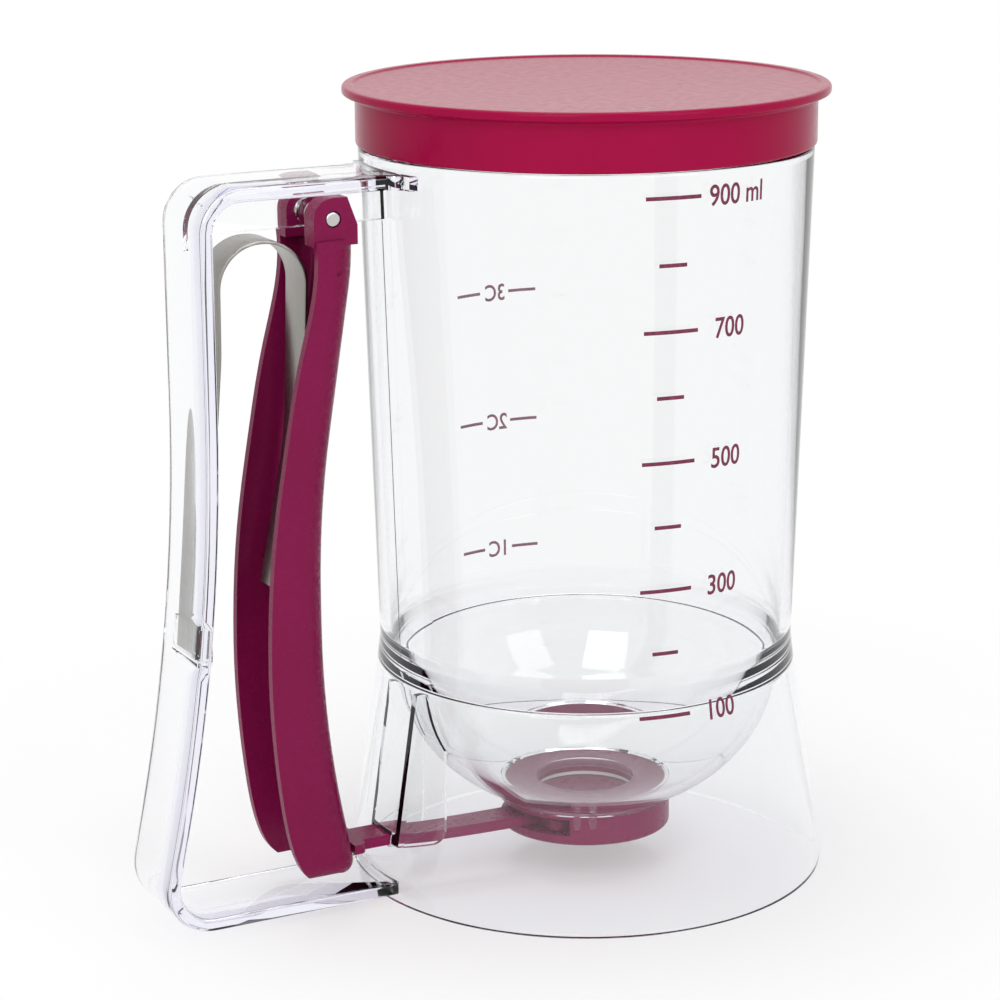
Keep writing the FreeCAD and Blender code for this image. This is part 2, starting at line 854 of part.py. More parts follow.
os.makedirs("parts", exist_ok=True)
for name, shape in build().items():
    shape.exportStep("parts/" + name + ".step")
    bounds = shape.BoundBox
    print("%-18s solids %d valid %s volume %.0f  x %.1f..%.1f y %.1f..%.1f z %.1f..%.1f" % (
        name, len(shape.Solids), shape.isValid(), shape.Volume,
        bounds.XMin, bounds.XMax, bounds.YMin, bounds.YMax, bounds.ZMin, bounds.ZMax))
print("slide travel %.2f, drop %.2f" % (slide_travel, trigger_drop))
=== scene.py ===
import math

import bmesh
import bpy
from bpy.props import FloatProperty, IntProperty, PointerProperty, StringProperty
from mathutils import Matrix, Vector


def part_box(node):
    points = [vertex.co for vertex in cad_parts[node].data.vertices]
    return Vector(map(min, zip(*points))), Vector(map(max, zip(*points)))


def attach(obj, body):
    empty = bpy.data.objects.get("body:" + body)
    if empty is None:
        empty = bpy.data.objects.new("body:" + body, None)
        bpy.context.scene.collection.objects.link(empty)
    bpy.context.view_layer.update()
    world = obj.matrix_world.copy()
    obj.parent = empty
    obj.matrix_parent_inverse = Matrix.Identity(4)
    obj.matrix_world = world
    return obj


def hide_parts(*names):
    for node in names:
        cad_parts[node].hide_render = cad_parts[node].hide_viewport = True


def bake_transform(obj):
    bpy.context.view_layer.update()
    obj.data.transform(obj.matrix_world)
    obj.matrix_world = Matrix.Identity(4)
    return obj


bl_info = {
    "name": "Batter dispenser finish",
    "version": (1, 0, 0),
    "blender": (4, 5, 0),
    "location": "View3D > Sidebar > Dispenser",
    "description": "Finishes a hand-held batter dispenser and its small studio",
    "category": "Object",
}

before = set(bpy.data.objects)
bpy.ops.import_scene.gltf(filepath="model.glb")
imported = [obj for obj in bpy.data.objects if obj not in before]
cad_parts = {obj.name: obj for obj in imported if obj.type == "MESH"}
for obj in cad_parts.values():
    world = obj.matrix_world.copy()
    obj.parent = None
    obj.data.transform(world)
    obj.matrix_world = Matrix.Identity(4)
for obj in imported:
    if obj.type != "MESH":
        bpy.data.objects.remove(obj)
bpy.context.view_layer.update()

MM = 0.001
TINY = 1e-7  # metres; nearer than this, two points are one

# Lowest and highest corners of the CAD nodes that the shapes are drawn from
SKIRT_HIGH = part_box("base_skirt")[1]
BOWL_LOW, BOWL_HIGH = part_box("bowl")
TANK_LOW, TANK_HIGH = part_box("tank_wall")
LID_LOW, LID_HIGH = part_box("lid")
BAR_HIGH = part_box("handle_grip_bar")[1]
FOOT_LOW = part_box("handle_bottom_arm")[0]
ARM_LOW, ARM_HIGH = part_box("handle_top_arm")
WEB_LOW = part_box("handle_web")[0]
SPRING_LOW, SPRING_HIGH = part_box("leaf_spring")
PIN_LOW, PIN_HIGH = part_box("pivot_pin")
SLIDER_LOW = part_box("slider")[0]
RING_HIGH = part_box("valve_top_ring")[1]
PIN = (PIN_LOW + PIN_HIGH) / 2


# Sizes and colours that a user would change

def length(name, text, default_mm):
    return FloatProperty(name=name, description=text, default=default_mm * MM, unit="LENGTH")


def colour(name, text, default_hex):
    return StringProperty(name=name, description=text, default=default_hex)


class BodySizes(bpy.types.PropertyGroup):
    wall: length("Tank wall", "Thickness of the tank's wall", 2.4)
    skirt_wall: length("Skirt wall", "Thickness of the skirt's wall", 2.2)
    waist_r: length("Waist radius", "Outer radius where tank and skirt meet", 47.9)
    lip_r: length("Lip radius", "Outer radius of the lip that the lid covers", 49.7)
    lip_wall: length("Lip wall", "Thickness of the lip", 1.4)
    shoulder_drop: length("Shoulder drop", "From the top of the lip down to its shoulder", 11.5)
    bowl_rim_r: length("Bowl rim", "Inner radius of the bowl's rim", 41.8)
    bowl_wall: length("Bowl wall", "Thickness of the bowl", 2.2)
    bowl_depth: length("Bowl depth", "Depth of the bowl's curve below its rim", 32.3)
    flange_r: length("Flange radius", "Outer radius of the flange round the outlet", 20.9)
    flange: length("Flange", "Thickness of the flange", 2.3)
    outlet_r: length("Outlet radius", "Radius of the outlet hole", 11.5)
    edge: length("Edge radius", "Rounding of the moulded edges", 0.6)
    rib: length("Rib", "Thickness of the ribs beside the slide arm", 1.6)
    rib_reach: length("Rib reach", "How far the ribs reach in from the skirt", 12.5)
    window_half: length("Window half width", "Half the width of the slide arm's window", 5.2)
    steps: IntProperty(name="Steps", description="Steps round the tank", default=288, min=48)


class HandleSizes(bpy.types.PropertyGroup):
    thickness: length("Thickness", "Thickness of the handle's band", 3.0)
    grip_centre: length("Grip centre", "Distance of the straight grip from the tank's axis", 96.2)
    foot_centre: length("Foot centre", "Distance of the grip's foot from the tank's axis", 110.5)
    bend_z: length("Bend height", "Height at which the grip starts to lean out", 72.0)
    bend_r: length("Bend radius", "Radius of the grip's lean", 450.0)
    top_corner: length("Top corner", "Centre radius of the top corner", 8.0)
    foot_corner: length("Foot corner", "Centre radius of the bottom corner", 9.5)
    edge: length("Edge radius", "Rounding of the band's long edges", 0.7)
    flare: length("Flare", "How far the top arm spreads at the tank", 3.5)
    web: length("Web", "Thickness of the web under the top arm", 2.6)
    strip: length("Spring strip", "Thickness of the spring's strip", 0.7)
    arch_r: length("Arch radius", "Half the width of the spring's arch", 10.2)
    arch_x: length("Arch place", "Distance of the arch's middle from the pin", 14.3)


class PrintSizes(bpy.types.PropertyGroup):
    first_level: length("First level", "Height of the lowest millilitre mark", 48.5)
    level_step: length("Level step", "Height between two millilitre marks", 14.4)
    line: length("Line", "Thickness of a millilitre mark", 0.85)
    figure: length("Figure height", "Height of the millilitre figures", 4.6)
    cup_level: length("Cup level", "Height of the one-cup mark", 61.6)
    cup_step: length("Cup step", "Height between two cup marks", 31.05)
    cup_line: length("Cup line", "Thickness of a cup mark", 0.7)
    cup_figure: length("Cup figure height", "Height of the cup figures", 3.9)
    proud: length("Ink thickness", "How far the print stands off the wall", 0.06)


class Finishes(bpy.types.PropertyGroup):
    clear: colour("Clear plastic", "Tint of the clear moulding", "#FCFDFC")
    depth: colour("Clear plastic in depth", "Tint of the clear moulding's thick edges", "#B3A9F2")
    passing: colour("Passing light", "Light that the clear moulding lets through", "#FCFCFD")
    lid: colour("Lid", "Plum of the lid", "#9B093E")
    trigger: colour("Trigger", "Plum of the trigger", "#7C1244")
    valve: colour("Valve", "Plum of the valve and slide arm", "#82164A")
    ink: colour("Ink", "Plum of the printed figures", "#6A1238")
    # Printed plum of the cup scale, made paler than the near ink; the paleness is painted light,
    # for the print as the clear walls in front of it lighten it
    far_ink: colour("Far ink", "Plum of the cup scale on the far side", "#7B3350")
    steel: colour("Steel", "Colour of the spring strip", "#928F8A")
    pin: colour("Pin", "Colour of the pivot pin", "#C4C3C2")
    seal: colour("Seal", "Colour of the outlet's seal", "#ECEAE4")
    floor: colour("Floor", "Colour of the studio floor and surround", "#FFFFFF")


def sizes(name):
    return getattr(bpy.context.scene, "dispenser_" + name)


# Colour and material helpers

def linear(hex_text):
    """sRGB hex value as a linear RGBA colour."""
    channels = [int(hex_text[i:i + 2], 16) / 255 for i in (1, 3, 5)]
    return tuple(
        c / 12.92 if c <= 0.04045 else ((c + 0.055) / 1.055) ** 2.4 for c in channels
    ) + (1.0,)


def finish_colour(name):
    return linear(getattr(sizes("finish"), name))


def shade(tint, share, lift=0.0):
    """A linear colour made darker or lighter."""
    return tuple(min(1.0, c * share + lift) for c in tint[:3]) + (1.0,)


def add(owner, kind, settings=None, in_order=(), **links):
    """Adds a node with its settings; its inputs join outputs given in order or by name."""
    node = owner.node_tree.nodes.new(kind)
    for key, value in (settings or {}).items():
        if key in node.inputs:
            node.inputs[key].default_value = value
        else:
            setattr(node, key, value)
    for socket, output in zip(node.inputs, in_order):
        owner.node_tree.links.new(socket, output)
    for key, output in links.items():
        owner.node_tree.links.new(node.inputs[key.replace("_", " ")], output)
    return node


def new_material(name):
    """An empty material, and the output that gives a point's place in metres."""
    material = bpy.data.materials.new(name)
    material.use_nodes = True
    material.node_tree.nodes.clear()
    return material, add(material, "ShaderNodeTexCoord").outputs["Object"]


def clear_moulding():
    """Styrene acrylonitrile, injection moulded and polished: glassy, violet in thick edges."""
    material, place = new_material("clear_SAN_polished")
    # Moulded wall, very slightly uneven over about 25 mm, so that reflections wander
    waves = add(material, "ShaderNodeTexNoise", {"Scale": 1 / (25 * MM), "Detail": 1.0},
                Vector=place)
    bump = add(material, "ShaderNodeBump", {"Strength": 0.05, "Distance": 0.4 * MM},
               Height=waves.outputs["Fac"])
    # This plastic's usual IOR is about 1.57; 1.42 was chosen to lighten its dark thick edges
    glassy = add(material, "ShaderNodeBsdfPrincipled", {
        "Base Color": finish_colour("clear"), "Roughness": 0.015, "IOR": 1.42,
        "Transmission Weight": 1.0,
    }, Normal=bump.outputs["Normal"])
    # Light passes through to what stands behind, as it does through a thin clear wall
    open_air = add(material, "ShaderNodeBsdfTransparent", {"Color": finish_colour("passing")})
    ray = add(material, "ShaderNodeLightPath").outputs
    passes = add(material, "ShaderNodeMath", {"operation": "MAXIMUM"},
                 (ray["Is Shadow Ray"], ray["Is Diffuse Ray"]))
    mix = add(material, "ShaderNodeMixShader", None,
              (passes.outputs["Value"], glassy.outputs["BSDF"], open_air.outputs["BSDF"]))
    depth = add(material, "ShaderNodeVolumeAbsorption", {
        "Color": finish_colour("depth"), "Density": 9.0,
    })
    add(material, "ShaderNodeOutputMaterial",
        Surface=mix.outputs["Shader"], Volume=depth.outputs["Volume"])
    return material


def gloss_moulding(name, tint, roughness, grain_mm, depth_mm, shine=0.2):
    """Polypropylene or ABS from a polished mould: glossy, with a faint orange-peel waviness."""
    material, place = new_material(name)
    # Pigment swirl, ten peel grains across and 3 percent lighter and darker
    swirl = add(material, "ShaderNodeTexNoise", {
        "Scale": 1 / (10 * grain_mm * MM), "Detail": 3.0,
    }, Vector=place)
    tone = add(material, "ShaderNodeValToRGB", Fac=swirl.outputs["Fac"])
    dark, light = tone.color_ramp.elements
    dark.position, dark.color = 0.35, shade(tint, 0.97)
    light.position, light.color = 0.65, shade(tint, 1.03)
    peel = add(material, "ShaderNodeTexNoise", {"Scale": 1 / (grain_mm * MM), "Detail": 2.0},
               Vector=place)
    bump = add(material, "ShaderNodeBump", {"Strength": 0.05, "Distance": depth_mm * MM},
               Height=peel.outputs["Fac"])
    rough = add(material, "ShaderNodeMapRange", {
        "From Min": 0.3, "From Max": 0.7, "To Min": roughness * 0.85, "To Max": roughness * 1.15,
    }, Value=peel.outputs["Fac"])
    shader = add(material, "ShaderNodeBsdfPrincipled", {
        "IOR": 1.49, "Specular IOR Level": shine,
    }, Base_Color=tone.outputs["Color"], Roughness=rough.outputs["Result"],
        Normal=bump.outputs["Normal"])
    add(material, "ShaderNodeOutputMaterial", Surface=shader.outputs["BSDF"])
    return material


def spring_strip():
    """Rolled stainless strip: satin, with fine rolling lines along its length."""
    material, place = new_material("stainless_strip_rolled")
    # Rolling lines 0.25 mm apart across Y, drawn 20 times as long in the other directions
    stretch = add(material, "ShaderNodeMapping", {"Scale": (1 / 20, 1.0, 1 / 20)}, Vector=place)
    lines = add(material, "ShaderNodeTexNoise", {"Scale": 1 / (0.25 * MM), "Detail": 2.0},
                Vector=stretch.outputs["Vector"])
    bump = add(material, "ShaderNodeBump", {"Strength": 0.12, "Distance": 0.02 * MM},
               Height=lines.outputs["Fac"])
    rough = add(material, "ShaderNodeMapRange", {"To Min": 0.22, "To Max": 0.38},
                Value=lines.outputs["Fac"])
    shader = add(material, "ShaderNodeBsdfPrincipled", {
        "Base Color": finish_colour("steel"), "Metallic": 1.0,
    }, Roughness=rough.outputs["Result"], Normal=bump.outputs["Normal"])
    add(material, "ShaderNodeOutputMaterial", Surface=shader.outputs["BSDF"])
    return material


def pin_steel():
    """Turned stainless pin: bright, with turning rings 0.2 mm apart on its head."""
    material, place = new_material("stainless_pin_turned")
    shift = add(material, "ShaderNodeMapping", {"Location": (-PIN.x, 0.0, -PIN.z)}, Vector=place)
    # A wave texture's rings stand about 0.3 of its unit apart
    rings = add(material, "ShaderNodeTexWave", {
        "wave_type": "RINGS", "rings_direction": "Y", "Scale": 0.3 / (0.2 * MM),
        "Distortion": 0.5,
    }, Vector=shift.outputs["Vector"])
    bump = add(material, "ShaderNodeBump", {"Strength": 0.15, "Distance": 0.02 * MM},
               Height=rings.outputs["Fac"])
    shader = add(material, "ShaderNodeBsdfPrincipled", {
        "Base Color": finish_colour("pin"), "Metallic": 1.0, "Roughness": 0.18,
    }, Normal=bump.outputs["Normal"])
    add(material, "ShaderNodeOutputMaterial", Surface=shader.outputs["BSDF"])
    return material


def silicone_seal():
    """Moulded silicone rubber: soft matt white with a fine mould grain."""
    material, place = new_material("silicone_moulded_white")
    # Mould grain, 0.5 mm across
    grain = add(material, "ShaderNodeTexNoise", {"Scale": 1 / (0.5 * MM), "Detail": 3.0},
                Vector=place)
    bump = add(material, "ShaderNodeBump", {"Strength": 0.2, "Distance": 0.03 * MM},
               Height=grain.outputs["Fac"])
    shader = add(material, "ShaderNodeBsdfPrincipled", {
        "Base Color": finish_colour("seal"), "Roughness": 0.55, "IOR": 1.41,
        "Subsurface Weight": 0.2, "Subsurface Scale": 1.0 * MM,
    }, Normal=bump.outputs["Normal"])
    add(material, "ShaderNodeOutputMaterial", Surface=shader.outputs["BSDF"])
    return material


def pad_ink(name, tint):
    """Pad-printed ink on plastic: opaque and satin, with thinner patches about 0.7 mm across."""
    material, place = new_material(name)
    cover = add(material, "ShaderNodeTexNoise", {"Scale": 1 / (0.7 * MM), "Detail": 4.0},
                Vector=place)
    tone = add(material, "ShaderNodeValToRGB", Fac=cover.outputs["Fac"])
    thin, full = tone.color_ramp.elements
    thin.position, thin.color = 0.25, shade(tint, 1.5, lift=0.02)
    full.position, full.color = 0.5, tint
    shader = add(material, "ShaderNodeBsdfPrincipled", {"Roughness": 0.4},
                 Base_Color=tone.outputs["Color"])
    add(material, "ShaderNodeOutputMaterial", Surface=shader.outputs["BSDF"])
    return material


def studio_white():
    """Painted studio floor: plain white to the camera, and soft enough to keep a shadow."""
    material, place = new_material("studio_paint_white")
    # Roller texture, 3 mm across
    grain = add(material, "ShaderNodeTexNoise", {"Scale": 1 / (3 * MM), "Detail": 2.0},
                Vector=place)
    bump = add(material, "ShaderNodeBump", {"Strength": 0.02, "Distance": 0.1 * MM},
               Height=grain.outputs["Fac"])
    matt = add(material, "ShaderNodeBsdfDiffuse", {"Color": finish_colour("floor")},
               Normal=bump.outputs["Normal"])
    # The paint shows as plain white to the eye, to metal and through the clear walls:
    # 35 percent within 60 mm of the dispenser's axis, so that its shadow stays, and all
    # of it from 220 mm on
    away = add(material, "ShaderNodeVectorMath", {"operation": "LENGTH"}, (place,))
    far = add(material, "ShaderNodeMapRange", {
        "From Min": 0.06, "From Max": 0.22, "To Min": 0.35,
    }, Value=away.outputs["Value"])
    ray = add(material, "ShaderNodeLightPath").outputs
    direct = add(material, "ShaderNodeMath", {"operation": "MAXIMUM"},
                 (ray["Is Camera Ray"], ray["Is Glossy Ray"]))
    seen = add(material, "ShaderNodeMath", {"operation": "MAXIMUM"},
               (ray["Is Transmission Ray"], direct.outputs["Value"]))
    share = add(material, "ShaderNodeMath", {"operation": "MULTIPLY"},
                (seen.outputs["Value"], far.outputs["Result"]))
    glow = add(material, "ShaderNodeEmission", {"Strength": 1.0})
    mix = add(material, "ShaderNodeMixShader", None,
              (share.outputs["Value"], matt.outputs["BSDF"], glow.outputs["Emission"]))
    add(material, "ShaderNodeOutputMaterial", Surface=mix.outputs["Shader"])
    return material


# Mesh helpers

def arc_points(centre, radius, start, end, steps):
    """Points on an arc, angles in radians, both ends included."""
    cx, cy = centre
    angles = [start + (end - start) * i / steps for i in range(steps + 1)]
    return [(cx + radius * math.cos(a), cy + radius * math.sin(a)) for a in angles]


def circle_points(centre, radius, steps):
    return arc_points(centre, radius, 0.0, 2 * math.pi, steps)[:-1]


def rounded(points, radii, steps=5, closed=True, most=0.49):
    """A polygon with rounded corners.

    radii is one value or one for each point, and most is the share of a run that one
    corner may use.
    """
    if not isinstance(radii, (list, tuple)):
        radii = [radii] * len(points)
    result = []
    count = len(points)
    for i, (point, radius) in enumerate(zip(points, radii)):
        here = Vector(point)
        if radius <= 0 or (not closed and i in (0, count - 1)):
            result.append(tuple(here))
            continue
        before = Vector(points[i - 1]) - here
        after = Vector(points[(i + 1) % count]) - here
        turn = before.angle(after)
        reach = min(radius / math.tan(turn / 2), before.length * most, after.length * most)
        radius = reach * math.tan(turn / 2)
        bisector = (before.normalized() + after.normalized()).normalized()
        centre = here + bisector * (radius / math.sin(turn / 2))
        first = here + before.normalized() * reach - centre
        last = here + after.normalized() * reach - centre
        sweep = math.atan2(first.cross(last), first.dot(last))
        start = math.atan2(first.y, first.x)
        result += arc_points(tuple(centre), radius, start, start + sweep, steps)
    return result


def rounded_corners(corners, steps=5, closed=True):
    """The same from (point, radius) pairs."""
    points, radii = zip(*corners)
    return rounded(points, radii, steps, closed)


def mesh_object(name, verts, faces, material, smooth_deg=35.0):
    mesh = bpy.data.meshes.new(name)
    mesh.from_pydata(verts, [], faces)
    work = bmesh.new()
    work.from_mesh(mesh)
    bmesh.ops.remove_doubles(work, verts=work.verts, dist=TINY)
    bmesh.ops.recalc_face_normals(work, faces=work.faces)
    work.to_mesh(mesh)
    work.free()
    piece = bpy.data.objects.new(name, mesh)
    bpy.context.scene.collection.objects.link(piece)
    mesh.materials.append(material)
    smooth(piece, smooth_deg)
    return piece


def smooth(piece, degrees):
    """Shades a piece smooth, with edges sharper than this left sharp."""
    mesh = piece.data
    mesh.polygons.foreach_set("use_smooth", [True] * len(mesh.polygons))
    mesh.set_sharp_from_angle(angle=math.radians(degrees))
    mesh.update()


def lathe(name, profile, steps, material, smooth_deg=35.0):
    """Closed (radius, height) profile turned about the tank's axis; radius 0 makes a pole."""
    verts = []
    rows = []
    for radius, height in profile:
        if radius < TINY:
            rows.append([len(verts)] * steps)
            verts.append((0.0, 0.0, height))
            continue
        rows.append(list(range(len(verts), len(verts) + steps)))
        for k in range(steps):
            angle = 2 * math.pi * k / steps
            verts.append((radius * math.cos(angle), radius * math.sin(angle), height))
    faces = []
    for a, b in zip(rows, rows[1:] + rows[:1]):
        for k in range(steps):
            n = (k + 1) % steps
            unique = list(dict.fromkeys([a[k], a[n], b[n], b[k]]))
            if len(unique) > 2:
                faces.append(unique)
    return mesh_object(name, verts, faces, material, smooth_deg)


def prism_faces(count):
    """Two end faces of count points each, and the sides between them."""
    ends = [list(range(count)), list(range(2 * count - 1, count - 1, -1))]
    return ends + [
        [i, (i + 1) % count, count + (i + 1) % count, count + i] for i in range(count)
    ]


def prism(name, outline, low_y, high_y, material, edge=0.0):
    """(x, z) outline thickened along Y, its rim edges rounded by a bevel."""
    verts = [(x, y, z) for y in (low_y, high_y) for x, z in outline]
    piece = mesh_object(name, verts, prism_faces(len(outline)), material)
    if edge > 0:
        bevel_rim(piece, low_y, high_y, edge)
        smooth(piece, 35.0)
    return piece


def bevel_rim(piece, low_y, high_y, edge):
    """Rounds the edges of the two flat ends."""
    work = bmesh.new()
    work.from_mesh(piece.data)
    rim = [
        e for e in work.edges
        if any(all(abs(v.co.y - y) < TINY for v in e.verts) for y in (low_y, high_y))
    ]
    bmesh.ops.bevel(work, geom=rim, offset=edge, segments=3, profile=0.5, affect="EDGES",
                    clamp_overlap=True)
    work.to_mesh(piece.data)
    work.free()


def combine(piece, others, operation):
    """Boolean of one mesh with others, applied; the others are removed."""
    for other in others:
        step = piece.modifiers.new(operation.lower(), "BOOLEAN")
        step.operation = operation
        step.solver = "EXACT"
        step.object = other
        bpy.context.view_layer.update()
        depsgraph = bpy.context.evaluated_depsgraph_get()
        result = bpy.data.meshes.new_from_object(piece.evaluated_get(depsgraph))
        piece.modifiers.clear()
        piece.data = result
        bpy.data.objects.remove(other)
    if not piece.data.polygons:
        raise RuntimeError(piece.name + " is empty after its boolean")
    return piece


def path_runs(corners, radii, steps=14):
    """Open (x, z) path with rounded corners; most is high so that the grip's lean fits."""
    return rounded(corners, [0.0] + list(radii) + [0.0], steps, closed=False, most=0.7)


def offset_path(path, shift):
    """The same open path moved sideways."""
    moved = []
    for i, point in enumerate(path):
        before = Vector(path[max(0, i - 1)])
        after = Vector(path[min(len(path) - 1, i + 1)])
        run = (after - before).normalized()
        moved.append((point[0] + run.y * shift, point[1] - run.x * shift))
    return moved


def band(name, path, thickness, width, material, edge):
    """Flat band of even thickness that follows a path in the handle's plane."""
    outline = offset_path(path, thickness / 2) + offset_path(path, -thickness / 2)[::-1]
    return prism(name, outline, -width / 2, width / 2, material, edge)


# The clear moulding

INTO_WALL = 1.2 * MM  # how deep a piece runs into the wall that it joins


def taper(z):
    """Outer radius of the tank above the waist."""
    body = sizes("body")
    top = TANK_HIGH.y
    shoulder = TANK_HIGH.z - body.shoulder_drop
    return body.waist_r + (top - body.waist_r) * (z - TANK_LOW.z) / (shoulder - TANK_LOW.z)


def skirt_radius(z):
    """Outer radius of the skirt below the waist."""
    base = SKIRT_HIGH.y
    neck = BOWL_HIGH.y
    return base + (neck - base) * z / SKIRT_HIGH.z


def outer_radius(z):
    """Outer radius of tank or skirt; the tank's line holds to 2 mm below its own end."""
    return taper(z) if z >= TANK_LOW.z - 2 * MM else skirt_radius(z)


def bowl_radius(rim, depth, z):
    return rim * math.sqrt(max(0.0, 1 - ((SKIRT_HIGH.z - z) / depth) ** 2))


def bowl_curve(rim, depth, stop_r, steps=28):
    """(radius, height) points of the bowl from its rim down to a radius."""
    end = math.acos(stop_r / rim)
    angles = [end * i / steps for i in range(steps + 1)]
    return [(rim * math.cos(a), SKIRT_HIGH.z - depth * math.sin(a)) for a in angles]


def body_profile():
    """Tank, bowl and skirt as one closed outline, from the skirt's base rim upwards."""
    body = sizes("body")
    shoulder = TANK_HIGH.z - body.shoulder_drop
    waist = TANK_LOW.z
    base = SKIRT_HIGH.y
    neck = BOWL_HIGH.y
    top_r = TANK_HIGH.y
    ring_gap = 0.05 * MM
    flange_low = RING_HIGH.z - ring_gap
    flange_high = flange_low + body.flange
    outer_rim = body.bowl_rim_r + body.bowl_wall
    outer_depth = body.bowl_depth + body.bowl_wall
    waist_drop = 1 * MM
    waist_round = 6 * MM
    neck_round = 12 * MM
    lip_root = 0.3 * MM
    inner_shift = 2 * MM
    outline = rounded_corners([
        ((base - body.skirt_wall, 0.0), body.edge),
        ((base, 0.0), body.edge),
        ((neck, SKIRT_HIGH.z), neck_round),
        ((body.waist_r, waist - waist_drop), waist_round),
        ((top_r, shoulder), body.edge),
        ((body.lip_r, shoulder), lip_root),
        ((body.lip_r, TANK_HIGH.z), body.edge),
        ((body.lip_r - body.lip_wall, TANK_HIGH.z), body.edge),
        ((top_r - body.wall, shoulder - inner_shift), inner_shift),
        ((body.waist_r - body.wall, waist + inner_shift), neck_round),
    ])
    floor_r = bowl_radius(body.bowl_rim_r, body.bowl_depth, flange_high)
    outline += bowl_curve(body.bowl_rim_r, body.bowl_depth, floor_r)
    outline += rounded([
        (body.outlet_r, flange_high), (body.outlet_r, flange_low), (body.flange_r, flange_low),
    ], body.edge / 2, steps=3, closed=False)
    outline += bowl_curve(outer_rim, outer_depth, body.flange_r)[:0:-1]
    # The groove between the bowl and the skirt is a half circle at the bowl's rim
    groove = (neck - body.skirt_wall - outer_rim) / 2
    outline += arc_points((outer_rim + groove, SKIRT_HIGH.z), groove, math.pi, 0.0, steps=8)
    return outline


def handle_corners():
    """Corners of the handle's middle line, from the tank round to the skirt, and their radii."""
    handle = sizes("handle")
    top = ARM_HIGH.z - handle.thickness / 2
    low = FOOT_LOW.z + handle.thickness / 2
    into_tank = 2 * MM
    corners = [
        (-sizes("body").waist_r - into_tank, top), (-handle.grip_centre, top),
        (-handle.grip_centre, handle.bend_z), (-handle.foot_centre, low),
        (-skirt_radius(low) + INTO_WALL, low),
    ]
    return corners, [handle.top_corner, handle.bend_r, handle.foot_corner]


def handle_web(material):
    """Thin upright web under the top arm, with the boss that carries the pin."""
    handle = sizes("handle")
    overlap = 0.5 * MM
    high = ARM_LOW.z + overlap
    low = WEB_LOW.z + 0.4 * MM
    bar = -handle.grip_centre + handle.thickness / 2 - overlap
    wall = -taper(PIN.z) + INTO_WALL
    # The web's foot runs 3.5 mm further down the grip than along its underside
    foot_drop, foot_near, foot_far = 3.5 * MM, 1.2 * MM, 4.5 * MM
    outline = rounded_corners([
        ((bar, low - foot_drop), 0.0), ((bar + foot_near, low - foot_drop), 1.0 * MM),
        ((bar + foot_far, low), 2.5 * MM), ((wall, low), 0.0), ((wall, high), 0.0),
        ((bar, high), 0.0),
    ], steps=4)
    edge = 0.3 * MM
    web = prism("web_blank", outline, -handle.web / 2, handle.web / 2, material, edge)
    boss_r, boss_half, bore_r = 3.0 * MM, 4.9 * MM, 1.35 * MM
    centre = (PIN.x, PIN.z)
    boss = prism("boss_blank", circle_points(centre, boss_r, 40), -boss_half, boss_half,
                 material, edge)
    bore = prism("bore_blank", circle_points(centre, bore_r, 32), -2 * boss_half,
                 2 * boss_half, material)
    combine(web, [boss], "UNION")
    return combine(web, [bore], "DIFFERENCE")


def top_arm_flare(material):
    """Curved gussets where the top arm spreads along the tank's wall."""
    half = BAR_HIGH.y
    wall = taper(ARM_LOW.z)
    spread = sizes("handle").flare
    inside = -wall + 8 * MM
    near = arc_points((-wall - spread, half + spread), spread, -math.pi / 2, 0.0, steps=8)
    far = arc_points((-wall - spread, -half - spread), spread, math.pi / 2, 0.0, steps=8)
    plan = near + [(inside, half + spread), (inside, -half - spread)] + far[::-1]
    verts = [(x, y, z) for z in (ARM_LOW.z, ARM_HIGH.z) for x, y in plan]
    gusset = mesh_object("gusset_blank", verts, prism_faces(len(plan)), material)
    trim_r = wall - INTO_WALL
    trim_low, trim_high = ARM_LOW.z - 5 * MM, ARM_HIGH.z + 5 * MM
    trim = lathe("gusset_trim", [
        (0.0, trim_low), (trim_r, trim_low), (trim_r, trim_high), (0.0, trim_high),
    ], 96, material)
    return combine(gusset, [trim], "DIFFERENCE")


def spring_clip(material):
    """Ledge and cheeks on the grip that hold the spring's fixed leg."""
    gap = 0.4 * MM
    wall = 1.3 * MM
    cheek = 7 * MM
    reach = 1.5 * MM
    half = SPRING_HIGH.y + gap
    low = SPRING_LOW.z - gap
    face = SPRING_LOW.x
    pieces = []
    for low_y, high_y, top in ((-half - wall, half + wall, low),
                               (-half - wall, -half, low + cheek),
                               (half, half + wall, low + cheek)):
        outline = rounded([
            (face - reach, low - wall), (face + reach, low - wall),
            (face + reach, top), (face - reach, top),
        ], 0.3 * MM, steps=3)
        pieces.append(prism("clip_blank", outline, low_y, high_y, material))
    return combine(pieces[0], pieces[1:], "UNION")


def guide_rib(side, material):
    """Upright rib between the skirt and the bowl that steers the slide arm."""
    body = sizes("body")
    into_bowl = 0.6 * MM
    toe = 3.5 * MM
    steps = 10
    low = SLIDER_LOW.z - 0.3 * MM
    inner_x = -(skirt_radius(low) - body.skirt_wall - body.rib_reach)
    outer_rim = body.bowl_rim_r + body.bowl_wall - into_bowl
    outer_depth = body.bowl_depth + body.bowl_wall - into_bowl
    start = math.acos(min(1.0, -inner_x / outer_rim))
    outline = [
        (-outer_rim * math.cos(a), SKIRT_HIGH.z - outer_depth * math.sin(a))
        for a in [start * (1 - i / steps) for i in range(steps + 1)]
    ]
    outline += [
        (-skirt_radius(SKIRT_HIGH.z) + INTO_WALL, SKIRT_HIGH.z - 1 * MM),
        (-skirt_radius(low) + INTO_WALL, low),
    ]
    outline += arc_points((inner_x - toe, low + toe), toe, -math.pi / 2, 0.0, steps=6)
    low_y = body.window_half
    high_y = low_y + body.rib
    if side < 0:
        low_y, high_y = -high_y, -low_y
    return prism("rib_blank", outline, low_y, high_y, material)


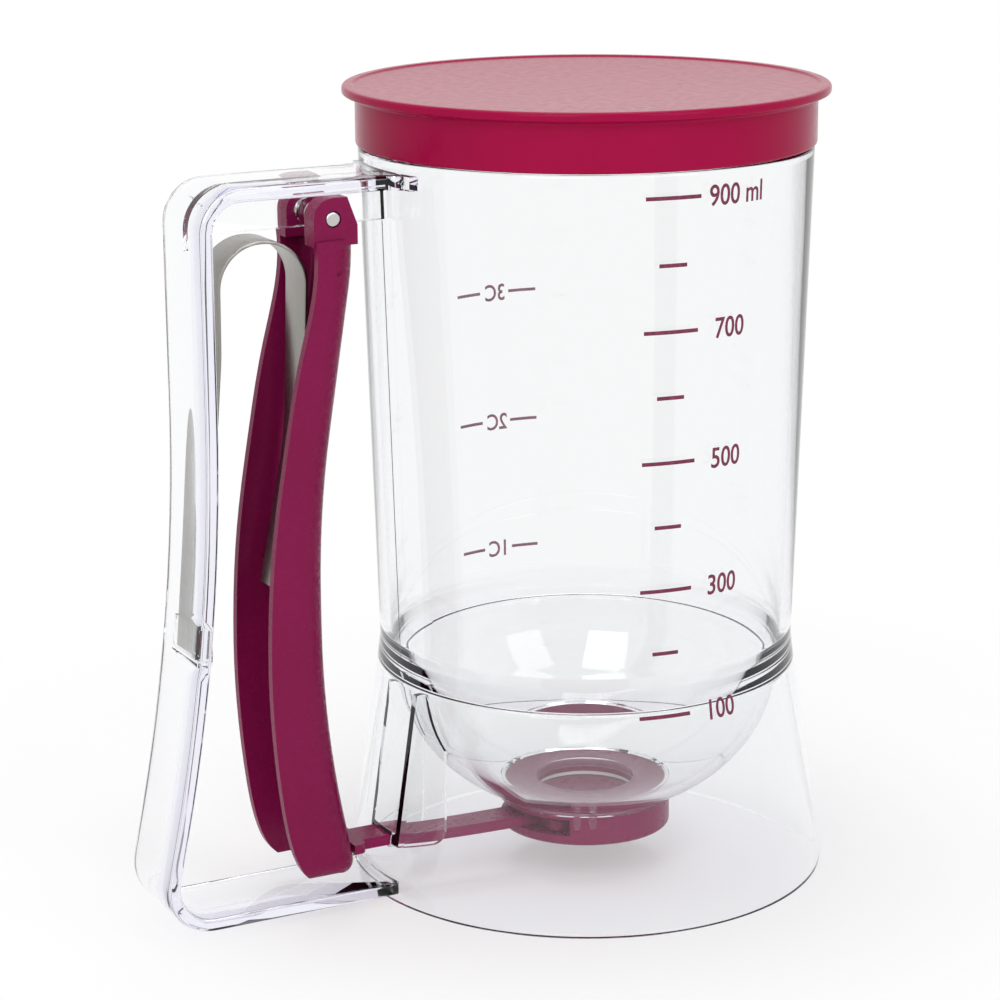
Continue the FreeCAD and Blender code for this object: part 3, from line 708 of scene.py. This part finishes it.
def outlet_peg(angle_deg, material):
    """Small peg under the flange, just outside the valve."""
    flange_r = sizes("body").flange_r
    top = RING_HIGH.z + 0.3 * MM
    low = BOWL_LOW.z
    half, thickness, tip = 0.8 * MM, 0.9 * MM, 0.5 * MM
    outline = rounded_corners([
        ((-half, low), tip), ((half, low), tip), ((half, top), 0.0), ((-half, top), 0.0),
    ], steps=4)
    peg = prism("peg_blank", outline, -flange_r, -flange_r + thickness, material)
    peg.data.transform(Matrix.Rotation(math.radians(angle_deg + 90), 4, "Z"))
    return peg


def slide_window(material):
    """What is cut from the skirt where the slide arm passes."""
    body = sizes("body")
    gap = 0.35 * MM
    arm = 2.2 * MM
    outside = -skirt_radius(0) - 5 * MM
    inside = -body.bowl_rim_r
    low, high = SLIDER_LOW.z - gap, SLIDER_LOW.z + arm + gap
    outline = rounded([(outside, low), (inside, low), (inside, high), (outside, high)],
                      0.4 * MM, steps=3)
    return prism("window_blank", outline, -body.window_half, body.window_half, material)


def build_clear_body():
    body = sizes("body")
    handle = sizes("handle")
    smooth_deg = 40.0
    material = clear_moulding()
    piece = lathe("clear_body", body_profile(), body.steps, material, smooth_deg)
    path = path_runs(*handle_corners())
    loop = band("loop_blank", path, handle.thickness, 2 * BAR_HIGH.y, material, handle.edge)
    extras = [loop, top_arm_flare(material), handle_web(material), spring_clip(material)]
    extras += [guide_rib(side, material) for side in (-1, 1)]
    # Three pairs of pegs round the outlet, 10 degrees apart in each pair
    for pair_deg in (241.0, 119.0, 0.0):
        extras += [outlet_peg(pair_deg + half * 10.0, material) for half in (-0.5, 0.5)]
    combine(piece, extras, "UNION")
    combine(piece, [slide_window(material)], "DIFFERENCE")
    smooth(piece, smooth_deg)
    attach(piece, "dispenser")
    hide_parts("tank_wall", "bowl", "base_skirt", "guide_rib_near", "guide_rib_far",
                "handle_top_arm", "handle_web", "handle_grip_bar", "handle_bottom_arm")
    return piece


def build_parting_line():
    """Fine raised line left by the mould, down the tank in the handle's plane."""
    half_width = 0.22 * MM
    height = 0.12 * MM
    sunk = 0.05 * MM
    low = TANK_LOW.z - 2 * MM
    high = WEB_LOW.z
    steps = 40
    verts = []
    for i in range(steps + 1):
        z = low + (high - low) * i / steps
        radius = outer_radius(z)
        verts += [
            (-radius + sunk, -half_width, z), (-radius - height, -half_width / 3, z),
            (-radius - height, half_width / 3, z), (-radius + sunk, half_width, z),
        ]
    faces = [[3, 2, 1, 0], [4 * steps, 4 * steps + 1, 4 * steps + 2, 4 * steps + 3]]
    for i in range(steps):
        for k in range(4):
            n = (k + 1) % 4
            faces.append([4 * i + k, 4 * i + n, 4 * (i + 1) + n, 4 * (i + 1) + k])
    piece = mesh_object("parting_line", verts, faces, bpy.data.materials["clear_SAN_polished"])
    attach(piece, "dispenser")
    return piece


# Printed scales. Angles on the wall are in degrees from the near side towards the front.

LONG_MARK = (-14.8, -0.6)
SHORT_MARK = (-11.2, -4.0)
FIGURE_START = 4.2
TOP_FIGURE_START = 1.6
FIGURE_SQUEEZE = 0.86
LEFT_CUP_DASH = (165.8, 174.1)
RIGHT_CUP_DASH = (183.3, 191.3)
CUP_FIGURE_START = 175.0
CUP_FIGURE_SQUEEZE = 0.9
CAPITAL_SHARE = 0.72  # a capital's height as a share of the font's size
STROKE_GROWTH = 0.08 * MM


def wall_point(angle, z, proud):
    """Point just off the outer wall; angle 0 faces the near side, and grows to the front."""
    radius = outer_radius(z) + proud
    return (radius * math.sin(angle), -radius * math.cos(angle), z)


def wall_patch(name, ends_deg, middle_z, line, material):
    """Thin printed bar that follows the wall."""
    low_deg, high_deg = ends_deg
    proud = sizes("print").proud
    steps = max(4, int(abs(high_deg - low_deg)))
    verts = []
    for z in (middle_z - line / 2, middle_z + line / 2):
        for stand in (proud * 0.2, proud):
            for i in range(steps + 1):
                angle = math.radians(low_deg + (high_deg - low_deg) * i / steps)
                verts.append(wall_point(angle, z, stand))
    row = steps + 1
    faces = []
    for i in range(steps):
        lower_in, lower_out = i, row + i
        upper_in, upper_out = 2 * row + i, 3 * row + i
        faces.append([lower_out, lower_out + 1, upper_out + 1, upper_out])
        faces.append([lower_in + 1, lower_in, upper_in, upper_in + 1])
        faces.append([lower_in, lower_in + 1, lower_out + 1, lower_out])
        faces.append([upper_out, upper_out + 1, upper_in + 1, upper_in])
    faces.append([0, row, 3 * row, 2 * row])
    faces.append([steps + row, steps, 2 * row + steps, 3 * row + steps])
    return mesh_object(name, verts, faces, material)


def wall_text(name, words, start_deg, z, height, squeeze, material):
    """Figures laid on the wall; start_deg is the left end seen from outside."""
    proud = sizes("print").proud
    curve = bpy.data.curves.new(name, "FONT")
    curve.body = words
    curve.size = height / CAPITAL_SHARE
    curve.align_x = "LEFT"
    curve.extrude = proud * 0.4
    curve.offset = STROKE_GROWTH
    curve.resolution_u = 4
    text = bpy.data.objects.new(name, curve)
    bpy.context.scene.collection.objects.link(text)
    bpy.context.view_layer.update()
    depsgraph = bpy.context.evaluated_depsgraph_get()
    mesh = bpy.data.meshes.new_from_object(text.evaluated_get(depsgraph))
    bpy.data.objects.remove(text)
    for vertex in mesh.vertices:
        level = z + vertex.co.y - height / 2
        angle = math.radians(start_deg) + vertex.co.x * squeeze / outer_radius(z)
        vertex.co = wall_point(angle, level, proud * 0.6 + vertex.co.z)
    piece = bpy.data.objects.new(name, mesh)
    bpy.context.scene.collection.objects.link(piece)
    mesh.materials.clear()
    mesh.materials.append(material)
    return piece


def join(name, pieces):
    """Joins several meshes into the first and names it."""
    bpy.ops.object.select_all(action="DESELECT")
    for piece in pieces:
        piece.select_set(True)
    bpy.context.view_layer.objects.active = pieces[0]
    bpy.ops.object.join()
    joined = bpy.context.view_layer.objects.active
    joined.name = name
    joined.data.name = name
    return joined


def build_millilitre_scale():
    ink = sizes("print")
    material = pad_ink("pad_ink_plum", finish_colour("ink"))
    levels = 9
    pieces = []
    for level in range(levels):
        z = ink.first_level + level * ink.level_step
        has_figure = level % 2 == 0
        mark = LONG_MARK if has_figure else SHORT_MARK
        pieces.append(wall_patch("mark", mark, z, ink.line, material))
        if has_figure:
            is_top = level == levels - 1
            words = str(100 * (level + 1)) + (" ml" if is_top else "")
            start = TOP_FIGURE_START if is_top else FIGURE_START
            pieces.append(wall_text("figures", words, start, z, ink.figure, FIGURE_SQUEEZE,
                                    material))
    piece = join("millilitre_scale", pieces)
    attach(piece, "dispenser")
    return piece


def build_cup_scale():
    ink = sizes("print")
    # Real printed plum, with painted light: the ink is drawn paler for the clear walls that stand
    # in front of it
    material = pad_ink("pad_ink_plum_far_painted_light", finish_colour("far_ink"))
    pieces = []
    for cups in (1, 2, 3):
        z = ink.cup_level + (cups - 1) * ink.cup_step
        pieces.append(wall_patch("dash", LEFT_CUP_DASH, z, ink.cup_line, material))
        pieces.append(wall_text("figures", str(cups) + "C", CUP_FIGURE_START, z,
                                ink.cup_figure, CUP_FIGURE_SQUEEZE, material))
        pieces.append(wall_patch("dash", RIGHT_CUP_DASH, z, ink.cup_line, material))
    piece = join("cup_scale", pieces)
    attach(piece, "dispenser")
    return piece


# Lid

def build_lid():
    """Push-on cap: a skirt round the lip, a wider rim, and a top sunk by a small step."""
    top = LID_HIGH.z
    rim = LID_HIGH.y
    skirt_low = LID_LOW.z
    under = TANK_HIGH.z + 0.3 * MM
    skirt_r = 51.7 * MM
    inner_r = 50.0 * MM
    border, sunk_border, step = 2.2 * MM, 2.9 * MM, 0.35 * MM
    profile = rounded_corners([
        ((0.0, under), 0.0),
        ((inner_r, under), 0.6 * MM),
        ((inner_r, skirt_low), 0.3 * MM),
        ((skirt_r, skirt_low), 0.6 * MM),
        ((skirt_r, under - 0.9 * MM), 0.8 * MM),
        ((rim, under - 0.1 * MM), 0.5 * MM),
        ((rim, top), 0.75 * MM),
        ((rim - border, top), 0.4 * MM),
        ((rim - sunk_border, top - step), 0.4 * MM),
        ((0.0, top - step), 0.0),
    ], closed=False)
    material = gloss_moulding("polypropylene_plum_polished", finish_colour("lid"),
                              roughness=0.2, grain_mm=2.0, depth_mm=0.05, shine=0.08)
    lid = lathe("lid_cap", profile, 256, material, smooth_deg=40.0)
    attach(lid, "lid")
    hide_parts("lid")
    return lid


# Spring

def build_spring():
    """Bent strip: its fixed leg stays on the grip, and its moving leg follows the trigger."""
    handle = sizes("handle")
    half_t = handle.strip / 2
    top = SPRING_HIGH.z - half_t
    right = PIN.x - handle.arch_x + handle.arch_r
    left = right - 2 * handle.arch_r
    fixed_x = SPRING_LOW.x + half_t
    corners = [
        (PIN.x - 12.4 * MM, PIN.z - 82.05 * MM),  # the moving leg's end
        (PIN.x - 5.6 * MM, PIN.z - 49.3 * MM),  # and its bend
        (right, top), (left, top),  # the arch
        (left - 0.3 * MM, top - 24 * MM),  # the fixed leg's upper bend
        (fixed_x + 2.5 * MM, 92 * MM),  # its lower bend
        (fixed_x, SPRING_LOW.z),  # and its end
    ]
    crown = handle.arch_r * 0.96
    path = path_runs(corners, [90 * MM, crown, crown, 60 * MM, 300 * MM])
    spring = band("leaf_spring_strip", path, handle.strip, 2 * SPRING_HIGH.y, spring_strip(),
                  edge=0.15 * MM)
    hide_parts("leaf_spring")
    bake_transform(spring)
    return spring


# CAD nodes that keep their shape

def paint(node, material):
    """Gives a carried-over node its finish."""
    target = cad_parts[node]
    target.data.materials.clear()
    target.data.materials.append(material)
    for polygon in target.data.polygons:
        polygon.material_index = 0


# Stage

VIEW_AZIMUTH = -29.0  # degrees from the near side
LIT_POINT = (0, 0, 0.09)
SOFTBOXES = (  # name, place, width, height, watts
    ("key_left", (-0.75, -0.75, 0.7), 0.6, 0.8, 5.2),
    ("fill_right", (0.25, -1.0, 0.55), 0.5, 0.8, 2.8),
    ("top", (0.0, 0.1, 1.3), 0.9, 0.9, 7.0),
)
SURROUND_LIGHT = 0.4


def aim(location, forward, roll):
    """Camera matrix from its place, the way it looks, and its roll."""
    forward = Vector(forward).normalized()
    right = forward.cross(Vector((0, 0, 1))).normalized()
    up = right.cross(forward)
    tilt = Matrix((right, up, -forward)).transposed().to_4x4()
    return Matrix.Translation(location) @ tilt @ Matrix.Rotation(roll, 4, "Z")


def add_camera():
    """The photograph's camera, found from the rim, waist and base circles."""
    camera = bpy.data.objects.new("camera", bpy.data.cameras.new("camera"))
    bpy.context.scene.collection.objects.link(camera)
    camera.data.sensor_width = 36.0
    camera.data.lens = 107.84
    camera.data.clip_start = 0.01
    distance = 0.6705
    height = 0.2632
    azimuth = math.radians(VIEW_AZIMUTH)
    heading = math.radians(27.312)
    pitch = math.radians(14.824)
    roll = math.radians(-0.34)
    place = Vector((distance * math.sin(azimuth), -distance * math.cos(azimuth), height))
    forward = (math.sin(heading) * math.cos(pitch), math.cos(heading) * math.cos(pitch),
               -math.sin(pitch))
    camera.matrix_world = aim(place, forward, roll)
    bpy.context.scene.camera = camera
    return camera


def add_softbox(name, place, width, height, power):
    light = bpy.data.lights.new(name, "AREA")
    light.shape = "RECTANGLE"
    light.size = width
    light.size_y = height
    light.energy = power
    box = bpy.data.objects.new(name, light)
    bpy.context.scene.collection.objects.link(box)
    way = (Vector(LIT_POINT) - Vector(place)).normalized()
    turn = way.to_track_quat("-Z", "Y").to_matrix().to_4x4()
    box.matrix_world = Matrix.Translation(place) @ turn
    return box


def add_world():
    """White to the eye, to metal and through the clear plastic; dimmer as a light."""
    world = bpy.data.worlds.new("studio")
    world.use_nodes = True
    bpy.context.scene.world = world
    world.node_tree.nodes.clear()
    white = finish_colour("floor")
    ray = add(world, "ShaderNodeLightPath").outputs
    direct = add(world, "ShaderNodeMath", {"operation": "MAXIMUM"},
                 (ray["Is Camera Ray"], ray["Is Transmission Ray"]))
    seen = add(world, "ShaderNodeMath", {"operation": "MAXIMUM"},
               (direct.outputs["Value"], ray["Is Glossy Ray"]))
    dim = add(world, "ShaderNodeBackground", {"Color": white, "Strength": SURROUND_LIGHT})
    bright = add(world, "ShaderNodeBackground", {"Color": white, "Strength": 1.0})
    mix = add(world, "ShaderNodeMixShader", None,
              (seen.outputs["Value"], dim.outputs["Background"], bright.outputs["Background"]))
    add(world, "ShaderNodeOutputWorld", Surface=mix.outputs["Shader"])


def add_floor():
    """A wide floor with a rounded rise behind, drawn as a swept sheet."""
    depth = 1.6
    rise = 0.5
    bend = 0.3
    half = 2.0
    profile = [(-depth, 0.0), (depth - bend, 0.0)]
    profile += arc_points((depth - bend, bend), bend, -math.pi / 2, 0.0, steps=16)[1:]
    profile.append((depth, bend + rise))
    turn = Matrix.Rotation(math.radians(VIEW_AZIMUTH), 4, "Z")
    verts = [tuple(turn @ Vector((x, y, z))) for y, z in profile for x in (-half, half)]
    faces = [[2 * i, 2 * i + 1, 2 * i + 3, 2 * i + 2] for i in range(len(profile) - 1)]
    floor = mesh_object("studio_floor", verts, faces, studio_white(), smooth_deg=60.0)
    return floor


# Operators, one for each piece or group of like pieces

class DISPENSER_OT_clear_body(bpy.types.Operator):
    """Builds the clear tank, bowl, skirt and handle as one moulding, with its parting line"""
    bl_idname = "dispenser.clear_body"
    bl_label = "Clear body"

    def execute(self, context):
        build_clear_body()
        build_parting_line()
        return {"FINISHED"}


class DISPENSER_OT_print(bpy.types.Operator):
    """Prints the millilitre scale and the cup scale on the tank"""
    bl_idname = "dispenser.print"
    bl_label = "Printed scales"

    def execute(self, context):
        build_millilitre_scale()
        build_cup_scale()
        return {"FINISHED"}


class DISPENSER_OT_lid(bpy.types.Operator):
    """Builds the push-on lid"""
    bl_idname = "dispenser.lid"
    bl_label = "Lid"

    def execute(self, context):
        build_lid()
        return {"FINISHED"}


class DISPENSER_OT_trigger(bpy.types.Operator):
    """Finishes the trigger"""
    bl_idname = "dispenser.trigger"
    bl_label = "Trigger"

    def execute(self, context):
        paint("trigger", gloss_moulding("abs_plum_polished", finish_colour("trigger"),
                                        roughness=0.26, grain_mm=2.0, depth_mm=0.04,
                                        shine=0.12))
        return {"FINISHED"}


class DISPENSER_OT_pin(bpy.types.Operator):
    """Finishes the pivot pin"""
    bl_idname = "dispenser.pin"
    bl_label = "Pivot pin"

    def execute(self, context):
        paint("pivot_pin", pin_steel())
        return {"FINISHED"}


class DISPENSER_OT_spring(bpy.types.Operator):
    """Builds the leaf spring"""
    bl_idname = "dispenser.spring"
    bl_label = "Leaf spring"

    def execute(self, context):
        build_spring()
        return {"FINISHED"}


class DISPENSER_OT_valve(bpy.types.Operator):
    """Finishes the slide arm, the valve cup and its ring"""
    bl_idname = "dispenser.valve"
    bl_label = "Valve"

    def execute(self, context):
        plum = gloss_moulding("polypropylene_plum_satin", finish_colour("valve"),
                              roughness=0.3, grain_mm=1.5, depth_mm=0.05)
        for node in ("slider", "valve_cup", "valve_top_ring"):
            paint(node, plum)
        return {"FINISHED"}


class DISPENSER_OT_seal(bpy.types.Operator):
    """Finishes the seal under the outlet"""
    bl_idname = "dispenser.seal"
    bl_label = "Seal"

    def execute(self, context):
        paint("outlet_seal", silicone_seal())
        return {"FINISHED"}


class DISPENSER_OT_stage(bpy.types.Operator):
    """Sets the floor, the soft light, the white surround and the camera"""
    bl_idname = "dispenser.stage"
    bl_label = "Studio"

    def execute(self, context):
        context.scene.view_settings.view_transform = "Standard"
        add_floor()
        add_world()
        for softbox in SOFTBOXES:
            add_softbox(*softbox)
        add_camera()
        return {"FINISHED"}


class DISPENSER_PT_panel(bpy.types.Panel):
    """Lists the dispenser's operators in the sidebar"""
    bl_idname = "DISPENSER_PT_panel"
    bl_label = "Dispenser"
    bl_space_type = "VIEW_3D"
    bl_region_type = "UI"
    bl_category = "Dispenser"

    def draw(self, context):
        for operator in OPERATORS:
            self.layout.operator(operator.bl_idname)


GROUPS = {"body": BodySizes, "handle": HandleSizes, "print": PrintSizes, "finish": Finishes}
OPERATORS = (
    DISPENSER_OT_clear_body, DISPENSER_OT_print, DISPENSER_OT_lid, DISPENSER_OT_trigger,
    DISPENSER_OT_pin, DISPENSER_OT_spring, DISPENSER_OT_valve, DISPENSER_OT_seal,
    DISPENSER_OT_stage,
)


def register():
    for group in GROUPS.values():
        bpy.utils.register_class(group)
    for name, group in GROUPS.items():
        setattr(bpy.types.Scene, "dispenser_" + name, PointerProperty(type=group))
    for operator in OPERATORS:
        bpy.utils.register_class(operator)
    bpy.utils.register_class(DISPENSER_PT_panel)


def unregister():
    bpy.utils.unregister_class(DISPENSER_PT_panel)
    for operator in reversed(OPERATORS):
        bpy.utils.unregister_class(operator)
    for name, group in GROUPS.items():
        delattr(bpy.types.Scene, "dispenser_" + name)
        bpy.utils.unregister_class(group)


def main():
    register()
    bpy.ops.dispenser.clear_body()
    bpy.ops.dispenser.print()
    bpy.ops.dispenser.lid()
    bpy.ops.dispenser.trigger()
    bpy.ops.dispenser.pin()
    bpy.ops.dispenser.spring()
    bpy.ops.dispenser.valve()
    bpy.ops.dispenser.seal()
    bpy.ops.dispenser.stage()


if __name__ == "__main__":
    main()
